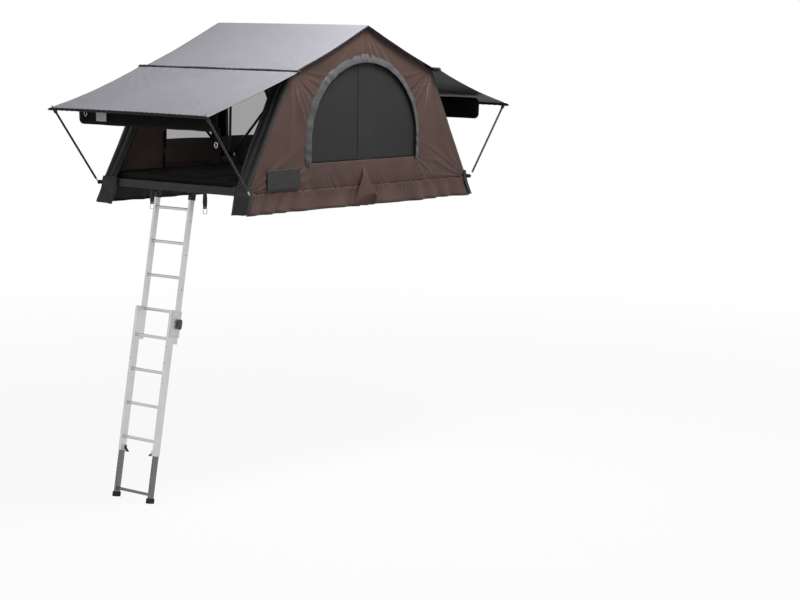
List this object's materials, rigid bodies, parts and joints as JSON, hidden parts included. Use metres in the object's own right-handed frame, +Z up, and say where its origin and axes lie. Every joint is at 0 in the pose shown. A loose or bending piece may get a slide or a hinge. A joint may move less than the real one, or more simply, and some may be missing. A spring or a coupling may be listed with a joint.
{
  "type": "roof top tent",
  "caption": "Fold-out roof top tent on a hinged two-part base, with bows, rain fly, awnings on rods, mesh gable windows, mattress and a sliding ladder.",
  "frame": {"origin": "middle of the four mounting bolts, on the underside of the mounting rails", "axes": "+Z up, +Y along the fold axis towards the rear gable, -X towards the half that overhangs with the ladder"},
  "size_m": [3.3472, 1.578, 3.3052],
  "materials": {
    "beam_coat": "dark grey powder coat",
    "floor_alloy": "mill finish",
    "rail_alloy": "satin anodised",
    "zinc_steel": "zinc plated",
    "black_steel": "black powder coat",
    "mattress_cover": "black cotton cover",
    "brown_canvas": "brown ripstop canvas",
    "black_mesh": "fine black mesh",
    "grey_trim": "grey flap cloth",
    "black_cloth": "black coated cloth",
    "patch_cloth": "dark woven patch",
    "fly_cloth": "grey coated fly cloth",
    "bow_coat": "black anodised tube",
    "rod_steel": "black sleeved spring steel",
    "ladder_alloy": "satin anodised",
    "leg_alloy": "grey anodised",
    "black_plastic": "black moulded",
    "guide_alloy": "dark anodised",
    "black_rubber": "black rubber",
    "webbing": "black webbing"
  },
  "bodies": {
    "inner_base": {"floor_panel_inner": "floor_alloy", "edge_frame_inner": "beam_coat", "mounting_rails": "rail_alloy", "rail_bolts": "zinc_steel", "hinge_plates_inner": "black_steel", "hinge_pins": "zinc_steel", "mattress_inner": "mattress_cover", "gable_front_inner": "brown_canvas", "gable_rear_inner": "brown_canvas", "window_mesh_inner": "black_mesh", "storm_band_inner": "grey_trim", "skirt_inner": "brown_canvas", "centre_pleats": "brown_canvas", "door_border_inner": "black_cloth", "corner_boots_inner": "black_cloth", "rod_brackets_inner": "black_steel"},
    "outer_base": {"floor_panel_outer": "floor_alloy", "edge_frame_outer": "beam_coat", "hinge_plates_outer": "black_steel", "mattress_outer": "mattress_cover", "gable_front_outer": "brown_canvas", "gable_rear_outer": "brown_canvas", "window_mesh_outer": "black_mesh", "storm_band_outer": "grey_trim", "skirt_outer": "brown_canvas", "door_border_outer": "black_cloth", "corner_boots_outer": "black_cloth", "rod_brackets_outer": "black_steel", "bare_patch": "patch_cloth", "ladder_brackets": "black_steel", "strap_loops": "webbing", "strap_buckles": "zinc_steel"},
    "eave_bow_outer_body": {"eave_bow_outer": "bow_coat", "fly_outer": "fly_cloth", "eave_hem_outer": "black_cloth", "awning_outer": "fly_cloth", "door_roll_outer": "black_cloth"},
    "ridge_bow_outer_body": {"ridge_bow_outer": "bow_coat"},
    "ridge_bow_inner_body": {"ridge_bow_inner": "bow_coat"},
    "eave_bow_inner_body": {"eave_bow_inner": "bow_coat", "fly_inner": "fly_cloth", "eave_hem_inner": "black_cloth", "awning_inner": "fly_cloth", "door_roll_inner": "black_cloth"},
    "rod_front_outer_body": {"rod_front_outer": "rod_steel"},
    "rod_rear_outer_body": {"rod_rear_outer": "rod_steel"},
    "rod_front_inner_body": {"rod_front_inner": "rod_steel"},
    "rod_rear_inner_body": {"rod_rear_inner": "rod_steel"},
    "ladder_upper_body": {"ladder_upper_stiles": "ladder_alloy", "ladder_upper_rungs": "ladder_alloy", "ladder_top_caps": "black_plastic"},
    "ladder_lower_body": {"ladder_lower_stiles": "ladder_alloy", "ladder_lower_rungs": "ladder_alloy", "ladder_guides": "guide_alloy"},
    "lock_left_body": {"lock_pin_left": "black_plastic"},
    "lock_right_body": {"lock_pin_right": "black_plastic"},
    "ladder_leg_body": {"ladder_legs": "leg_alloy", "ladder_feet": "black_rubber"},
    "lever_left_body": {"leg_lever_left": "black_plastic"},
    "lever_right_body": {"leg_lever_right": "black_plastic"}
  },
  "joints": [
    {"name": "base_fold", "type": "hinge", "parent": "inner_base", "child": "outer_base", "pos_m": [-0.6, 0, 0.215], "axis": [0, 1, 0], "range_deg": [0, 180], "deforming": ["gable_front_inner", "gable_rear_inner", "window_mesh_inner", "storm_band_inner", "skirt_inner", "centre_pleats", "door_border_inner", "gable_front_outer", "gable_rear_outer", "window_mesh_outer", "storm_band_outer", "skirt_outer", "door_border_outer", "bare_patch"]},
    {"name": "eave_bow_outer_turn", "type": "hinge", "parent": "inner_base", "child": "eave_bow_outer_body", "pos_m": [-0.6, 0, 0.215], "axis": [0, 1, 0], "range_deg": [0, 135.9], "deforming": ["fly_outer", "eave_hem_outer", "awning_outer", "door_roll_outer"]},
    {"name": "ridge_bow_outer_turn", "type": "hinge", "parent": "inner_base", "child": "ridge_bow_outer_body", "pos_m": [-0.6, 0, 0.215], "axis": [0, 1, 0], "range_deg": [0, 90.3]},
    {"name": "ridge_bow_inner_turn", "type": "hinge", "parent": "inner_base", "child": "ridge_bow_inner_body", "pos_m": [-0.6, 0, 0.215], "axis": [0, 1, 0], "range_deg": [0, 89.8]},
    {"name": "eave_bow_inner_turn", "type": "hinge", "parent": "inner_base", "child": "eave_bow_inner_body", "pos_m": [-0.6, 0, 0.215], "axis": [0, 1, 0], "range_deg": [0, 44.3], "deforming": ["fly_inner", "eave_hem_inner", "awning_inner", "door_roll_inner"]},
    {"name": "rod_front_outer_swing", "type": "hinge", "parent": "outer_base", "child": "rod_front_outer_body", "pos_m": [-1.836, -0.742, 0.062], "axis": [0, 1, 0], "range_deg": [0, 127.7]},
    {"name": "rod_front_inner_swing", "type": "hinge", "parent": "inner_base", "child": "rod_front_inner_body", "pos_m": [0.636, -0.742, 0.062], "axis": [0, -1, 0], "range_deg": [0, 127.7]},
    {"name": "rod_rear_outer_swing", "type": "hinge", "parent": "outer_base", "child": "rod_rear_outer_body", "pos_m": [-1.836, 0.742, 0.062], "axis": [0, 1, 0], "range_deg": [0, 127.7]},
    {"name": "rod_rear_inner_swing", "type": "hinge", "parent": "inner_base", "child": "rod_rear_inner_body", "pos_m": [0.636, 0.742, 0.062], "axis": [0, -1, 0], "range_deg": [0, 127.7]},
    {"name": "ladder_swing", "type": "hinge", "parent": "outer_base", "child": "ladder_upper_body", "pos_m": [-1.772, 0.03, 0.01], "axis": [0, 1, 0], "range_deg": [-100, 80]},
    {"name": "ladder_slide", "type": "slide", "parent": "ladder_upper_body", "child": "ladder_lower_body", "axis": [0.1736, 0, 0.9848], "range_m": [0, 0.66]},
    {"name": "leg_slide", "type": "slide", "parent": "ladder_lower_body", "child": "ladder_leg_body", "axis": [0.1736, 0, 0.9848], "range_m": [0, 0.23]},
    {"name": "lock_left_pull", "type": "slide", "parent": "ladder_lower_body", "child": "lock_left_body", "axis": [0, 1, 0], "range_m": [0, 0.01], "stiffness_N_per_m": 600, "springref_m": -0.006},
    {"name": "lock_right_pull", "type": "slide", "parent": "ladder_lower_body", "child": "lock_right_body", "axis": [0, -1, 0], "range_m": [0, 0.01], "stiffness_N_per_m": 600, "springref_m": -0.006},
    {"name": "lever_left_press", "type": "hinge", "parent": "ladder_lower_body", "child": "lever_left_body", "pos_m": [-2.12878, 0.1745, -1.7508], "axis": [-0.9848, 0, 0.1736], "range_deg": [0, 30], "stiffness_Nm_per_rad": 0.4, "springref_deg": -22.92},
    {"name": "lever_right_press", "type": "hinge", "parent": "ladder_lower_body", "child": "lever_right_body", "pos_m": [-2.12878, -0.1145, -1.7508], "axis": [0.9848, 0, -0.1736], "range_deg": [0, 30], "stiffness_Nm_per_rad": 0.4, "springref_deg": -22.92}
  ],
  "couplings": [
    {"joint": "eave_bow_outer_turn", "follows": "base_fold", "ratio": 0.75444},
    {"joint": "ridge_bow_outer_turn", "follows": "base_fold", "ratio": 0.50117},
    {"joint": "ridge_bow_inner_turn", "follows": "base_fold", "ratio": 0.49883},
    {"joint": "eave_bow_inner_turn", "follows": "base_fold", "ratio": 0.24556},
    {"joint": "rod_front_outer_swing", "follows": "base_fold", "ratio": 0.70925},
    {"joint": "rod_front_inner_swing", "follows": "base_fold", "ratio": 0.70925},
    {"joint": "rod_rear_outer_swing", "follows": "base_fold", "ratio": 0.70925},
    {"joint": "rod_rear_inner_swing", "follows": "base_fold", "ratio": 0.70925}
  ]
}
